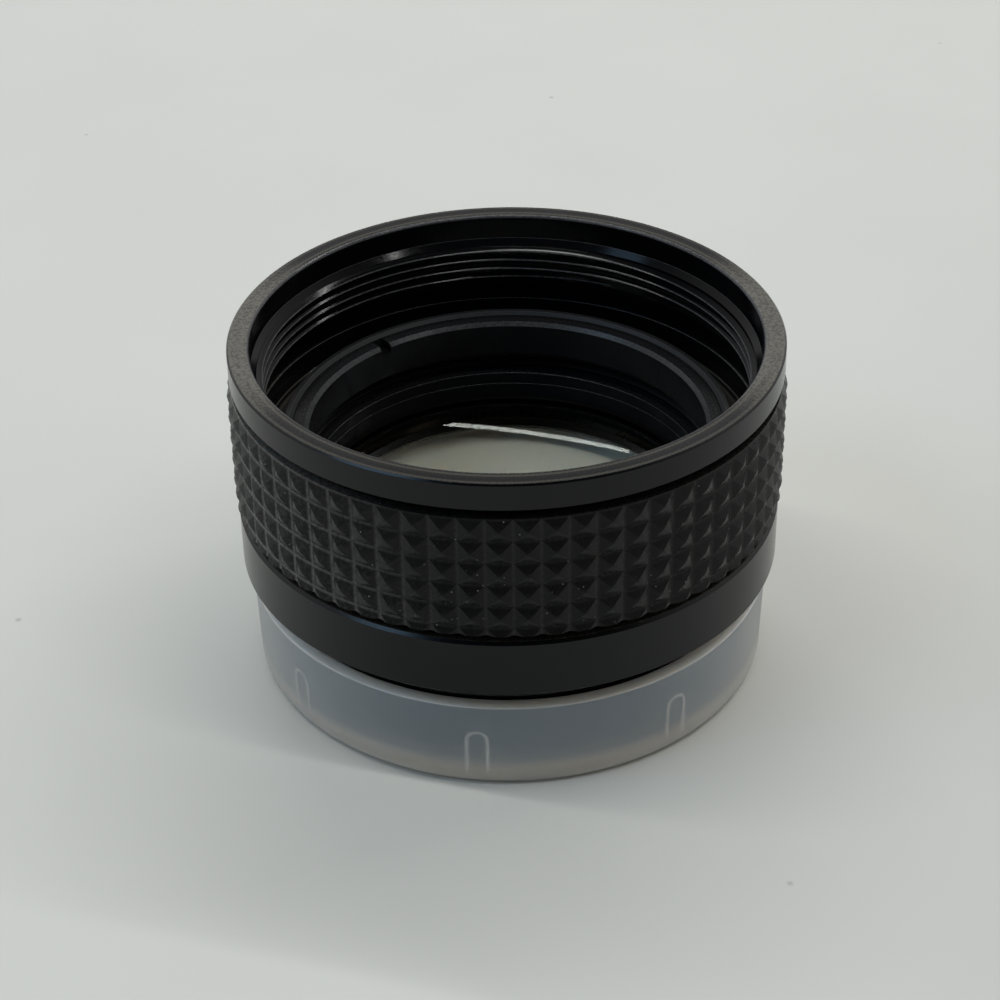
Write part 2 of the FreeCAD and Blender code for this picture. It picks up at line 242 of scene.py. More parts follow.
# Painted glint on the rim's face: its colour, and the radius it starts from.
rim_painted_glint = "#65635C"
rim_painted_glint_from = 25.9 * mm
line_spacing = 0.4 * mm
turning_feed = 0.12 * mm
blast_grain = 0.10 * mm
mottle_size = 0.3 * mm
dye_patch = 5 * mm
barrel_low, barrel_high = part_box("barrel")
edge_break = 0.03
thread_major = 25.4
thread_minor = 24.83
thread_pitch = 25.4 / 24
mouth_r = 26.0
bore_r = 26.2
bore_from = 23.5
rim_chamfer = 0.18
band_r = 28.25
recess_r = 27.0
turned_sides = 320


def rounded(corners, edge=edge_break, steps=3):
    """Rounds the corners (r, z, radius, edge mark) of a closed section, in mm, listed anticlockwise.

    Gives rows of r, z, the normal's two parts, and the edge mark, a paler edge that is partly
    abrasion and partly painted highlight; it runs on along a straight stretch only where both its
    corners have the same mark.
    """
    rows = []
    count = len(corners)
    wear_and_highlight = [corner[3] if len(corner) > 3 else 0.0 for corner in corners]
    for here in range(count):
        corner = np.array(corners[here][:2], float)
        radius = corners[here][2] if len(corners[here]) > 2 else edge
        before = corner - np.array(corners[here - 1][:2], float)
        after = np.array(corners[(here + 1) % count][:2], float) - corner
        room_for = min(np.linalg.norm(before), np.linalg.norm(after)) * 0.49
        before /= np.linalg.norm(before)
        after /= np.linalg.norm(after)
        turn = math.atan2(before[0] * after[1] - before[1] * after[0], before @ after)
        radius = min(radius, room_for / max(math.tan(abs(turn) / 2), 1e-6))
        side = 1 if turn > 0 else -1
        normal = np.array((before[1], -before[0]))
        centre = corner - before * radius * math.tan(abs(turn) / 2) - side * radius * normal
        for step in range(steps + 1):
            share = turn * step / steps
            way = np.array((normal[0] * math.cos(share) - normal[1] * math.sin(share),
                            normal[0] * math.sin(share) + normal[1] * math.cos(share)))
            spot = centre + side * radius * way
            beside = {0: here - 1, steps: (here + 1) % count}.get(step, here)
            marked = wear_and_highlight[here] if wear_and_highlight[here] == wear_and_highlight[beside] else 0.0
            rows.append((spot[0], spot[1], way[0], way[1], marked))
    return rows


def lathe(name, rows, sides=turned_sides, closed=True, true_normals=True):
    """Turns rows of r, z, normal and edge mark, in mm, into a mesh in metres."""
    rows = np.array(rows, float)
    angles = np.arange(sides) * 2 * math.pi / sides
    ring = np.stack((np.cos(angles), np.sin(angles)), 1)
    places = []
    normals = []
    marks = []
    starts = []
    for r, z, out, rise, mark in rows:
        starts.append(len(places))
        if r < 1e-6:
            places.append((0, 0, z * mm))
            normals.append((0, 0, math.copysign(1, rise)))
            marks.append(mark)
            continue
        places.extend((r * c * mm, r * s * mm, z * mm) for c, s in ring)
        normals.extend((out * c, out * s, rise) for c, s in ring)
        marks.extend([mark] * sides)
    faces = []
    for here in range(len(rows) if closed else len(rows) - 1):
        after = (here + 1) % len(rows)
        pole_here = rows[here, 0] < 1e-6
        pole_after = rows[after, 0] < 1e-6
        for side in range(sides):
            turn = (side + 1) % sides
            corners = [starts[here] + (0 if pole_here else side),
                       starts[here] + (0 if pole_here else turn),
                       starts[after] + (0 if pole_after else turn),
                       starts[after] + (0 if pole_after else side)]
            faces.append(list(dict.fromkeys(corners)))
    mesh = bpy.data.meshes.new(name)
    mesh.from_pydata(places, [], faces)
    mesh.polygons.foreach_set("use_smooth", [True] * len(faces))
    mesh.attributes.new("edge", "FLOAT", "POINT").data.foreach_set("value", marks)
    if true_normals:
        mesh.normals_split_custom_set_from_vertices(normals)
    return mesh


def place(mesh, body, slot, *materials):
    """Puts a finished mesh in the scene, on its body, with its materials."""
    piece = bpy.data.objects.new(mesh.name, mesh)
    scene.collection.objects.link(piece)
    for material in materials:
        mesh.materials.append(material)
    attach(piece, body)
    return piece


def anodised(name, dark, light, edge_and_highlight_colour, line_colour,
             wall_roughness, face_roughness, grain_depth, skin_ior):
    """Black anodised aluminium: a clear oxide skin over dye, with the tool's fine rings still in it.

    The oxide reflects like a glass skin, so it isn't metallic here. Broken edges take less dye and
    show greyer, and their pale colour is also a painted highlight along the edges. Flat faces keep a
    coarser, mottled grain than the walls, and the rim's face has a painted glint: two paler sectors
    at its sides, where its turned rings would catch the lamps.
    """
    material, tree = new_material(name)
    place_in = add(tree, "ShaderNodeTexCoord").outputs["Object"]
    parts = add(tree, "ShaderNodeSeparateXYZ", {0: place_in})
    flat = add(tree, "ShaderNodeCombineXYZ", {0: parts.outputs[0], 1: parts.outputs[1]})
    radius = add(tree, "ShaderNodeVectorMath", {0: flat}, operation="LENGTH").outputs["Value"]
    section = add(tree, "ShaderNodeCombineXYZ", {0: radius, 1: parts.outputs[2]})
    facing = add(tree, "ShaderNodeSeparateXYZ", {0: add(tree, "ShaderNodeNewGeometry").outputs["Normal"]})
    upward = add(tree, "ShaderNodeMath", {0: facing.outputs[2]}, operation="ABSOLUTE")
    face = add(tree, "ShaderNodeMapRange", {0: upward, 1: 0.85, 2: 0.98})
    rings = add(tree, "ShaderNodeTexNoise", {"Vector": section, "Scale": 1 / turning_feed, "Detail": 1.0})
    grain = add(tree, "ShaderNodeTexNoise", {"Vector": place_in, "Scale": 1 / blast_grain, "Detail": 2.0})
    mottle = add(tree, "ShaderNodeTexNoise", {"Vector": place_in, "Scale": 1 / mottle_size, "Detail": 4.0})
    patch = add(tree, "ShaderNodeTexNoise", {"Vector": place_in, "Scale": 1 / dye_patch, "Detail": 2.0})
    colour = add(tree, "ShaderNodeMix", {0: patch, 6: linear(dark), 7: linear(light)}, data_type="RGBA")
    lines = add(tree, "ShaderNodeTexNoise", {"Vector": section, "Scale": 1 / line_spacing, "Detail": 2.0})
    lines = add(tree, "ShaderNodeMapRange", {0: lines, 1: 0.42, 2: 0.66})
    lines = add(tree, "ShaderNodeMath", {0: lines, 1: face}, operation="MULTIPLY")
    colour = add(tree, "ShaderNodeMix", {0: lines, 6: colour.outputs[2], 7: linear(line_colour)},
                 data_type="RGBA")
    # Painted glint: two paler sectors at the sides of the rim's face, where its turned rings catch the lamps.
    painted_glint_sides = add(tree, "ShaderNodeMath", {0: parts.outputs[0], 1: radius}, operation="DIVIDE")
    painted_glint_sides = add(tree, "ShaderNodeMath", {0: painted_glint_sides}, operation="ABSOLUTE")
    painted_glint_sides = add(tree, "ShaderNodeMapRange", {0: painted_glint_sides, 1: 0.78, 2: 0.98},
                   interpolation_type="SMOOTHSTEP")
    outer = add(tree, "ShaderNodeMath", {0: radius, 1: rim_painted_glint_from}, operation="GREATER_THAN")
    patches = add(tree, "ShaderNodeMapRange", {0: mottle, 1: 0.35, 2: 0.6, 3: 0.45, 4: 1.0})
    for part in (face, outer, patches):
        painted_glint_sides = add(tree, "ShaderNodeMath", {0: painted_glint_sides, 1: part}, operation="MULTIPLY")
    colour = add(tree, "ShaderNodeMix", {0: painted_glint_sides, 6: colour.outputs[2], 7: linear(rim_painted_glint)},
                 data_type="RGBA")
    # Edges painted paler: partly real abrasion of the dye, partly a painted highlight along the edge.
    edge = add(tree, "ShaderNodeAttribute", attribute_name="edge").outputs["Fac"]
    edge_mottle = add(tree, "ShaderNodeMapRange", {0: mottle, 1: 0.3, 2: 0.6, 3: 0.35, 4: 1.0})
    edge_wear_and_highlight = add(tree, "ShaderNodeMath", {0: edge, 1: edge_mottle}, operation="MULTIPLY")
    colour = add(tree, "ShaderNodeMix", {0: edge_wear_and_highlight, 6: colour.outputs[2], 7: linear(edge_and_highlight_colour)},
                 data_type="RGBA")
    gloss = add(tree, "ShaderNodeMapRange", {0: face, 3: wall_roughness, 4: face_roughness})
    uneven = add(tree, "ShaderNodeMapRange", {0: mottle, 1: 0.3, 2: 0.7, 3: -0.03, 4: 0.04})
    gloss = add(tree, "ShaderNodeMath", {0: gloss, 1: uneven}, operation="ADD")
    ring_strength = add(tree, "ShaderNodeMapRange", {0: face, 3: 0.06, 4: 0.35})
    first = add(tree, "ShaderNodeBump", {"Height": rings, "Strength": ring_strength, "Distance": 0.006 * mm})
    grain_strength = add(tree, "ShaderNodeMapRange", {0: face, 3: 0.15, 4: 0.5})
    bump = add(tree, "ShaderNodeBump", {"Height": grain, "Strength": grain_strength, "Distance": grain_depth,
                                        "Normal": first})
    around = add(tree, "ShaderNodeTangent", direction_type="RADIAL", axis="Z")
    surface = add(tree, "ShaderNodeBsdfPrincipled", {"Base Color": colour.outputs[2], "Roughness": gloss,
                                                     "IOR": skin_ior, "Anisotropic": 0.75, "Tangent": around,
                                                     "Normal": bump})
    add(tree, "ShaderNodeOutputMaterial", {"Surface": surface})
    return material


housing_finish = anodised("black_anodised_aluminium", anodised_black, anodised_grey, anodised_edge_and_highlight,
                          turned_line, wall_roughness=0.16, face_roughness=0.27,
                          grain_depth=0.004 * mm, skin_ior=1.34)
thread_finish = anodised("black_anodised_thread", anodised_black, anodised_grey, thread_crest_and_highlight,
                         turned_line, wall_roughness=0.10, face_roughness=0.14,
                         grain_depth=0.002 * mm, skin_ior=1.22)

rim_top = barrel_high.z / mm
nose_bottom = barrel_low.z / mm
barrel_section = [
    (21.5, nose_bottom), (24.35, nose_bottom), (24.65, nose_bottom + 0.3), (24.65, 6.3),
    (thread_minor, 6.3), (thread_minor, 11.4), (24.6, 11.5), (24.6, 12.4, 0.1),
    (28.15, 12.4), (band_r, 12.5, 0.03, 0.3), (band_r, 18.3), (27.95, 18.6),
    (recess_r, 18.6, 0.1), (recess_r, 33.7, 0.1), (28.05, 33.7), (band_r, 33.9),
    (band_r, rim_top - rim_chamfer), (band_r - rim_chamfer, rim_top),
    (mouth_r, rim_top, 0.35, 0.35), (mouth_r, 34.0, 0.06, 1.0), (thread_major, 33.4), (thread_major, 29.3),
    (26.1, 29.3), (26.1, 26.5), (25.9, 26.5, 0.08, 0.8), (25.9, 24.0, 0.25),
    (23.25, 24.0), (23.25, 5.2), (20.8, 5.2), (20.8, nose_bottom + 0.7)]
barrel_mesh = lathe("barrel_turned", rounded(barrel_section))
for face in barrel_mesh.polygons:
    face_r = math.hypot(face.center.x, face.center.y) / mm
    face.material_index = int(face_r < bore_r and bore_from * mm < face.center.z < barrel_high.z - mm)
barrel = place(barrel_mesh, "reducer", "anodised_housing", housing_finish, thread_finish)
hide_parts("barrel")


def thread(name, root_r, crest_r, pitch, low_z, high_z, phase, fade=0.12):
    """A right-hand helical ridge of 60 degrees from root to crest, its crest broken, faded at both ends."""
    side = 1 if crest_r > root_r else -1
    crest_flat = pitch / 8
    flank = abs(crest_r - root_r) * math.tan(math.radians(30))
    turns = (high_z - low_z) / pitch
    steps = int(turns * 200)
    sink = 0.04
    break_size = 0.16
    foot = crest_flat / 2 + flank
    shoulder = crest_flat / 2 + flank * break_size
    section = [(0, -foot), (1 - break_size, -shoulder), (1, -crest_flat * 0.3),
               (1, crest_flat * 0.3), (1 - break_size, shoulder), (0, foot)]
    places = []
    for step in range(steps + 1):
        share = step / steps
        angle = phase + share * turns * 2 * math.pi
        rise = min(1.0, share * turns / fade, (1 - share) * turns / fade)
        for out, along in section:
            r = root_r - side * sink + (crest_r - root_r + side * sink) * out * rise
            z = low_z + share * (high_z - low_z) + along
            places.append((r * math.cos(angle) * mm, r * math.sin(angle) * mm, z * mm))
    width = len(section)
    faces = []
    for step in range(steps):
        for part in range(width):
            after = (part + 1) % width
            quad = [step * width + part, (step + 1) * width + part,
                    (step + 1) * width + after, step * width + after]
            faces.append(quad if side < 0 else quad[::-1])
    faces.append(list(range(width))[::side])
    faces.append([steps * width + part for part in range(width)][::-side])
    mesh = bpy.data.meshes.new(name)
    mesh.from_pydata(places, [], faces)
    mesh.polygons.foreach_set("use_smooth", [True] * len(faces))
    # The crest takes the edge mark: its paler colour is partly abrasion, partly a painted highlight.
    mesh.attributes.new("edge", "FLOAT", "POINT").data.foreach_set(
        "value", [float(part in (2, 3)) for step in range(steps + 1) for part in range(width)])
    mesh.set_sharp_from_angle(angle=math.radians(35))
    return mesh


place(thread("telescope_thread", thread_major, thread_minor, thread_pitch, 29.6, 33.35, math.radians(60)),
      "reducer", "anodised_housing", thread_finish)
place(thread("camera_thread", thread_minor, thread_major, thread_pitch, 6.7, 11.0, math.radians(200)),
      "reducer", "anodised_housing", thread_finish)

# Rubber grip
# One moulded band of black rubber, stretched into the recess, with rows of square pyramids.
# The mould leaves the tips a little blunt and uneven, and the band was cut through its lowest row.

rubber_black = "#040405"
rubber_grey = "#0A0A0B"
dust_grey = "#8C8C87"
lint = "#A8A8A2"
valley_width = 0.26
dust_side = Vector((-0.93, -0.25, -0.27))
pyramids_around = 66
first_pyramid = 3.46
pyramid_pitch = 2.5
grip_apex = 28.65
grip_valley = 28.10
grip_bore = 27.05
grip_top_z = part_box("rubber_grip")[1].z / mm
grip_cells = 8
lifted_rows = 8
tip_blunt = 0.14
rubber_grain = 0.07 * mm
rubber_patch = 1.5 * mm
lint_size = 0.5 * mm
dust_size = 0.45 * mm
lint_level = 23 * mm


def moulded_rubber():
    """Black moulded rubber with a soft gloss; dust lies in its valleys, pale lint is caught low down."""
    material, tree = new_material("moulded_rubber")
    place_in = add(tree, "ShaderNodeTexCoord").outputs["Object"]
    parts = add(tree, "ShaderNodeSeparateXYZ", {0: place_in})
    turn = add(tree, "ShaderNodeMath", {0: parts.outputs[1], 1: parts.outputs[0]}, operation="ARCTAN2")
    first = math.radians(-90 + first_pyramid)
    per_radian = pyramids_around / (2 * math.pi)
    column = add(tree, "ShaderNodeMath", {0: turn, 1: per_radian, 2: -first * per_radian},
                 operation="MULTIPLY_ADD")
    row = add(tree, "ShaderNodeMath", {0: parts.outputs[2], 1: 1 / (pyramid_pitch * mm),
                                       2: 0.5 - grip_top_z / pyramid_pitch}, operation="MULTIPLY_ADD")
    away = [add(tree, "ShaderNodeMath", {0: way, 1: 0.5}, operation="PINGPONG") for way in (column, row)]
    edge = add(tree, "ShaderNodeMath", {0: away[0], 1: away[1]}, operation="MAXIMUM")
    valley = add(tree, "ShaderNodeMapRange", {0: edge, 1: 0.5 - valley_width / pyramid_pitch, 2: 0.48})
    side = add(tree, "ShaderNodeVectorMath", {0: place_in, 1: dust_side.normalized() / (grip_apex * mm)},
               operation="DOT_PRODUCT").outputs["Value"]
    side = add(tree, "ShaderNodeMapRange", {0: side, 1: 0.25, 2: 0.85, 3: 0.06, 4: 0.80})
    cling = add(tree, "ShaderNodeTexNoise", {"Vector": place_in, "Scale": 1 / dust_size, "Detail": 4.0,
                                             "Roughness": 0.7})
    cling = add(tree, "ShaderNodeMapRange", {0: cling, 1: 0.44, 2: 0.7})
    settled = add(tree, "ShaderNodeMapRange", {0: cling, 1: 0.0, 2: 0.4, 3: 0.55, 4: 1.0})
    settled = add(tree, "ShaderNodeMath", {0: settled, 1: side}, operation="MULTIPLY")
    dull = add(tree, "ShaderNodeMath", {0: settled, 1: valley}, operation="MULTIPLY")
    film = add(tree, "ShaderNodeMapRange", {0: side, 1: 0.06, 2: 0.5, 3: 0.015, 4: 0.11})
    film = add(tree, "ShaderNodeMath", {0: cling, 1: film}, operation="MULTIPLY")
    dull = add(tree, "ShaderNodeMath", {0: dull, 1: film}, operation="MAXIMUM")
    patch = add(tree, "ShaderNodeTexNoise", {"Vector": place_in, "Scale": 1 / rubber_patch, "Detail": 4.0})
    colour = add(tree, "ShaderNodeMix", {0: patch, 6: linear(rubber_black), 7: linear(rubber_grey)},
                 data_type="RGBA")
    speck = add(tree, "ShaderNodeTexVoronoi", {"Vector": place_in, "Scale": 1 / lint_size, "Randomness": 1.0})
    near = add(tree, "ShaderNodeMapRange", {0: speck.outputs["Distance"], 1: 0.10, 2: 0.16, 3: 1.0, 4: 0.0})
    pick = add(tree, "ShaderNodeSeparateColor", {0: speck.outputs["Color"]})
    rare = add(tree, "ShaderNodeMapRange", {0: parts.outputs[2], 1: lint_level, 2: grip_top_z * mm,
                                            3: 0.86, 4: 0.97})
    few = add(tree, "ShaderNodeMath", {0: pick.outputs[0], 1: rare}, operation="GREATER_THAN")
    dusty = add(tree, "ShaderNodeMath", {0: near, 1: few}, operation="MULTIPLY")
    dusty = add(tree, "ShaderNodeMath", {0: dusty, 1: 0.6}, operation="MULTIPLY")
    colour = add(tree, "ShaderNodeMix", {0: dull, 6: colour.outputs[2], 7: linear(dust_grey)},
                 data_type="RGBA")
    colour = add(tree, "ShaderNodeMix", {0: dusty, 6: colour.outputs[2], 7: linear(lint)}, data_type="RGBA")
    grain = add(tree, "ShaderNodeTexNoise", {"Vector": place_in, "Scale": 1 / rubber_grain, "Detail": 3.0})
    gloss = add(tree, "ShaderNodeMapRange", {0: patch, 1: 0.3, 2: 0.7, 3: 0.20, 4: 0.32})
    bump = add(tree, "ShaderNodeBump", {"Height": grain, "Strength": 0.5, "Distance": 0.015 * mm})
    surface = add(tree, "ShaderNodeBsdfPrincipled", {"Base Color": colour.outputs[2], "Roughness": gloss,
                                                     "IOR": 1.27, "Normal": bump})
    add(tree, "ShaderNodeOutputMaterial", {"Surface": surface})
    return material


def grip_mesh():
    """The band's outside as a fine net of blunt pyramids, closed by its two ends and its bore."""
    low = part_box("rubber_grip")[0].z / mm
    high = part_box("rubber_grip")[1].z / mm
    columns = pyramids_around * grip_cells
    levels = [0.0]
    step = pyramid_pitch / grip_cells
    while levels[-1] + step < high - low - 1e-6:
        levels.append(levels[-1] + step)
    levels.append(high - low)
    dice = random.Random(7)
    lift = [[dice.uniform(-0.03, 0.03) for row in range(lifted_rows)] for column in range(pyramids_around)]
    places = []
    for down in levels:
        across = down / pyramid_pitch
        row = int(across + 1e-6)
        v = abs(2 * (across - row) - 1)
        for column in range(columns):
            share = column / grip_cells
            number = int(share)
            u = abs(2 * (share - number) - 1)
            height = 1 - max(u, v)
            over = max(0.0, height - 1 + tip_blunt)
            height = min(height, 1 - tip_blunt) + tip_blunt * 0.25 * over / tip_blunt
            height *= 1 + lift[number % pyramids_around][row]
            r = grip_valley + (grip_apex - grip_valley) * height
            angle = math.radians(-90 + first_pyramid + (share - 0.5) * 360 / pyramids_around)
            places.append((r * math.cos(angle) * mm, r * math.sin(angle) * mm, (high - down) * mm))
    faces = []
    for level in range(len(levels) - 1):
        rising = (level % grip_cells) < grip_cells / 2
        for column in range(columns):
            after = (column + 1) % columns
            a = level * columns + column
            b = level * columns + after
            c = (level + 1) * columns + after
            d = (level + 1) * columns + column
            left = (column % grip_cells) < grip_cells / 2
            if rising == left:
                faces += [[a, d, c], [a, c, b]]
            else:
                faces += [[a, d, b], [b, d, c]]
    for z, ring_start in ((high, 0), (low, (len(levels) - 1) * columns)):
        bore_start = len(places)
        for column in range(columns):
            angle = math.radians(-90 + first_pyramid + (column / grip_cells - 0.5) * 360 / pyramids_around)
            places.append((grip_bore * math.cos(angle) * mm, grip_bore * math.sin(angle) * mm, z * mm))
        for column in range(columns):
            after = (column + 1) % columns
            quad = [ring_start + column, ring_start + after, bore_start + after, bore_start + column]
            faces.append(quad if z == high else quad[::-1])
    top_bore = len(places) - 2 * columns
    low_bore = len(places) - columns
    for column in range(columns):
        after = (column + 1) % columns
        faces.append([top_bore + column, top_bore + after, low_bore + after, low_bore + column])
    mesh = bpy.data.meshes.new("grip_pyramids")
    mesh.from_pydata(places, [], faces)
    mesh.polygons.foreach_set("use_smooth", [True] * len(faces))
    mesh.set_sharp_from_angle(angle=math.radians(18))
    return mesh


grip = place(grip_mesh(), "reducer", "grip_rubber", moulded_rubber())
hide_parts("rubber_grip")

# Lens cell and its rings
# A turned tube, anodised matte black, screwed into the barrel. Two threaded rings and a plain
# one hold the glass down in it; each threaded ring has two slots for a pin spanner.

cell_dark = "#19191A"
cell_grey = "#222325"
# The cell's edge colour: partly abrasion, partly a painted highlight along its edges.
cell_edge_and_highlight = "#2C2D2E"
paint_black = "#070807"
paint_grey = "#121210"
paint_grain = 0.08 * mm
cell_outer_r = 23.2
cell_thread_r = 22.3
cell_bore_r = 21.7
cell_lip_r = 20.0
cell_thread_end = 16.0
cell_seat = 8.5
lip_paint_r = 21.0
lip_paint_top = 8.35
ring_outer_r = 22.25
spanner_slot = 1.3
# The rings' edge colour: partly abrasion, partly a painted highlight along their edges.
ring_edge_and_highlight = "#454647"
ring_line = "#141414"
cell_finish = anodised("matte_anodised_cell", cell_dark, cell_grey, cell_edge_and_highlight, ring_line,
                       wall_roughness=0.40, face_roughness=0.40, grain_depth=0.010 * mm, skin_ior=1.30)
ring_finish = anodised("black_anodised_ring", cell_dark, cell_grey, ring_edge_and_highlight, ring_line,
                       wall_roughness=0.22, face_roughness=0.26, grain_depth=0.004 * mm, skin_ior=1.26)


def matte_paint():
    """Dead black paint, brushed inside the cell's lip and on the ground edges of the glass."""
    material, tree = new_material("matte_black_paint")
    place_in = add(tree, "ShaderNodeTexCoord").outputs["Object"]
    grain = add(tree, "ShaderNodeTexNoise", {"Vector": place_in, "Scale": 1 / paint_grain, "Detail": 2.0})
    colour = add(tree, "ShaderNodeMix", {0: grain, 6: linear(paint_black), 7: linear(paint_grey)},
                 data_type="RGBA")
    bump = add(tree, "ShaderNodeBump", {"Height": grain, "Strength": 0.6, "Distance": 0.01 * mm})
    surface = add(tree, "ShaderNodeBsdfPrincipled", {"Base Color": colour.outputs[2], "Roughness": 0.8,
                                                     "IOR": 1.05, "Normal": bump})
    add(tree, "ShaderNodeOutputMaterial", {"Surface": surface})
    return material


black_paint = matte_paint()
cell_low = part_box("lens_cell")[0].z / mm
cell_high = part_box("lens_cell")[1].z / mm
# The lip's two edges round the clear opening are painted pale as painted highlights; the top edges' marks are
# partly abrasion, partly painted highlight.
cell_section = [(cell_lip_r + 0.5, cell_low, 0.03, 0.9), (cell_outer_r, cell_low, 0.1),
                (cell_outer_r, cell_high, 0.1, 0.5), (cell_thread_r + 0.35, cell_high, 0.1, 0.5),
                (cell_thread_r, cell_high - 0.35, 0.03, 0.5), (cell_thread_r, cell_thread_end),
                (cell_bore_r, cell_thread_end), (cell_bore_r, cell_seat),
                (cell_lip_r, cell_seat, 0.08, 0.8), (cell_lip_r, cell_low + 0.5, 0.03, 0.9)]
cell_mesh = lathe("lens_cell_turned", rounded(cell_section))
for face in cell_mesh.polygons:
    in_lip = math.hypot(face.center.x, face.center.y) < lip_paint_r * mm
    face.material_index = int(in_lip and cell_low + 0.6 < face.center.z / mm < lip_paint_top)
cell = place(cell_mesh, "reducer", "anodised_cell", cell_finish, black_paint)
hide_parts("lens_cell")
place(thread("cell_thread", cell_thread_r, cell_bore_r, 1.0, 19.4, 22.8, math.radians(30)),
      "reducer", "anodised_cell", cell_finish)


def slotted_ring(name, section, slot_angle, slot_width, slot_floor, top):
    """A turned ring with two square slots across its top face; the cut faces take its second material."""
    ring = bpy.data.objects.new(name, lathe(name, rounded(section)))
    scene.collection.objects.link(ring)
    low_r = min(corner[0] for corner in section) - 1
    high_r = max(corner[0] for corner in section) + 1
    half_width = slot_width / 2
    corners = [(r, w, z) for r in (low_r, high_r) for w in (-half_width, half_width)
               for z in (slot_floor, top + 1)]
    sides = [(0, 1, 3, 2), (4, 6, 7, 5), (0, 4, 5, 1), (2, 3, 7, 6), (0, 2, 6, 4), (1, 5, 7, 3)]
    for angle in (slot_angle, slot_angle + 180):
        spin = Matrix.Rotation(math.radians(angle), 4, "Z")
        tool_mesh = bpy.data.meshes.new("slot_cutter")
        tool_mesh.from_pydata([spin @ Vector(corner) * mm for corner in corners], [], sides)
        tool = bpy.data.objects.new("slot_cutter", tool_mesh)
        scene.collection.objects.link(tool)
        cut = ring.modifiers.new("slot", "BOOLEAN")
        cut.object = tool
        cut.solver = "EXACT"
        bpy.context.view_layer.update()
        done = bpy.data.meshes.new_from_object(ring.evaluated_get(bpy.context.evaluated_depsgraph_get()))
        ring.modifiers.clear()
        ring.data = done
        bpy.data.objects.remove(tool)
    for face in done.polygons:
        for angle in (slot_angle, slot_angle + 180):
            spot = Matrix.Rotation(math.radians(-angle), 4, "Z") @ face.center / mm
            if spot.x > 0 and abs(spot.y) < half_width + 0.01 and slot_floor - 0.01 < spot.z < top - 0.02:
                face.material_index = 1
    done.name = name
    bpy.data.objects.remove(ring)
    return done


lock_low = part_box("front_lock_ring")[0].z / mm
lock_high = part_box("front_lock_ring")[1].z / mm
# Its inner top edges take pale edge marks, partly abrasion and partly painted highlight.
lock_section = [(20.6, lock_low), (ring_outer_r, lock_low), (ring_outer_r, lock_high),
                (21.0, lock_high, 0.03, 0.8), (20.6, lock_high - 0.4, 0.03, 0.8)]
lock_mesh = slotted_ring("front_lock_ring_turned", lock_section,
                         129.5, spanner_slot, lock_high - 1.0, lock_high)
lock_ring = place(lock_mesh, "reducer", "anodised_ring", ring_finish, black_paint)
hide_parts("front_lock_ring")

keep_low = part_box("lens_retaining_ring")[0].z / mm
keep_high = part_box("lens_retaining_ring")[1].z / mm
# Its inner top edge takes a pale edge mark, partly abrasion and partly painted highlight.
keep_section = [(20.5, keep_low), (ring_outer_r, keep_low), (ring_outer_r, keep_high),
                (20.5, keep_high, 0.08, 0.8)]
keep_mesh = slotted_ring("lens_retaining_ring_turned", keep_section,
                         5.0, spanner_slot, keep_high - 0.6, keep_high)
keep_ring = place(keep_mesh, "reducer", "anodised_ring", ring_finish, black_paint)
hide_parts("lens_retaining_ring")

press_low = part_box("pressure_ring")[0].z / mm
press_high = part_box("pressure_ring")[1].z / mm
# Its inner top edge takes a pale edge mark, partly abrasion and partly painted highlight.
press_section = [(20.4, press_low), (21.55, press_low), (21.55, press_high), (20.4, press_high, 0.06, 0.5)]
press_mesh = lathe("pressure_ring_turned", rounded(press_section))
press_ring = place(press_mesh, "reducer", "anodised_ring", ring_finish)
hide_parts("pressure_ring")

spacer_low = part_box("lens_spacer")[0].z / mm
spacer_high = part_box("lens_spacer")[1].z / mm
# Its inner lower edge takes a pale edge mark, partly abrasion and partly painted highlight.
spacer_section = [(20.3, spacer_low, 0.08, 1.0), (21.6, spacer_low), (21.6, spacer_high), (20.3, spacer_high)]
spacer_mesh = lathe("lens_spacer_turned", rounded(spacer_section))
spacer = place(spacer_mesh, "reducer", "anodised_ring", ring_finish)
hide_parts("lens_spacer")

# Lens elements
# Two cemented pairs of polished glass, crown and flint, coated against reflections on the faces
# that meet air, all but the rear crown's, which is bare. The ground edges are painted black.

crown_ior = 1.517
flint_ior = 1.62
coating_thickness = 105.0
coating_ior = 1.38
lens_r = 21.6
lens_sides = 192
clear_r = 19.9
front_curve = 100.0
glued_curve = 120.0
flint_curve = 500.0
rear_curve = 77.0
glued_edge = 1.0
glass_haze = 3 * mm
cement_clear = "#FDFDFB"
cement_warm = "#FBFBF8"
cement_cloud = 8 * mm


def optical_glass(name, ior, coating):
    """Polished glass; a coating, in nanometres, tints its reflection violet, and 0 is bare glass."""
    material, tree = new_material(name)
    place_in = add(tree, "ShaderNodeTexCoord").outputs["Object"]
    haze = add(tree, "ShaderNodeTexNoise", {"Vector": place_in, "Scale": 1 / glass_haze, "Detail": 4.0})
    gloss = add(tree, "ShaderNodeMapRange", {0: haze, 1: 0.45, 2: 0.8, 3: 0.0, 4: 0.002})
    surface = add(tree, "ShaderNodeBsdfPrincipled", {
        "Base Color": (1, 1, 1, 1), "Roughness": gloss, "IOR": ior, "Transmission Weight": 1.0,
        "Thin Film Thickness": coating, "Thin Film IOR": coating_ior})
    path = add(tree, "ShaderNodeLightPath")
    indirect = add(tree, "ShaderNodeMath", {0: path.outputs["Is Shadow Ray"],
                                            1: path.outputs["Is Diffuse Ray"]}, operation="MAXIMUM")
    clear = add(tree, "ShaderNodeBsdfTransparent", {"Color": (0.985, 0.988, 0.98, 1.0)})
    surface = add(tree, "ShaderNodeMixShader", {0: indirect, 1: surface, 2: clear})
    add(tree, "ShaderNodeOutputMaterial", {"Surface": surface})
    return material


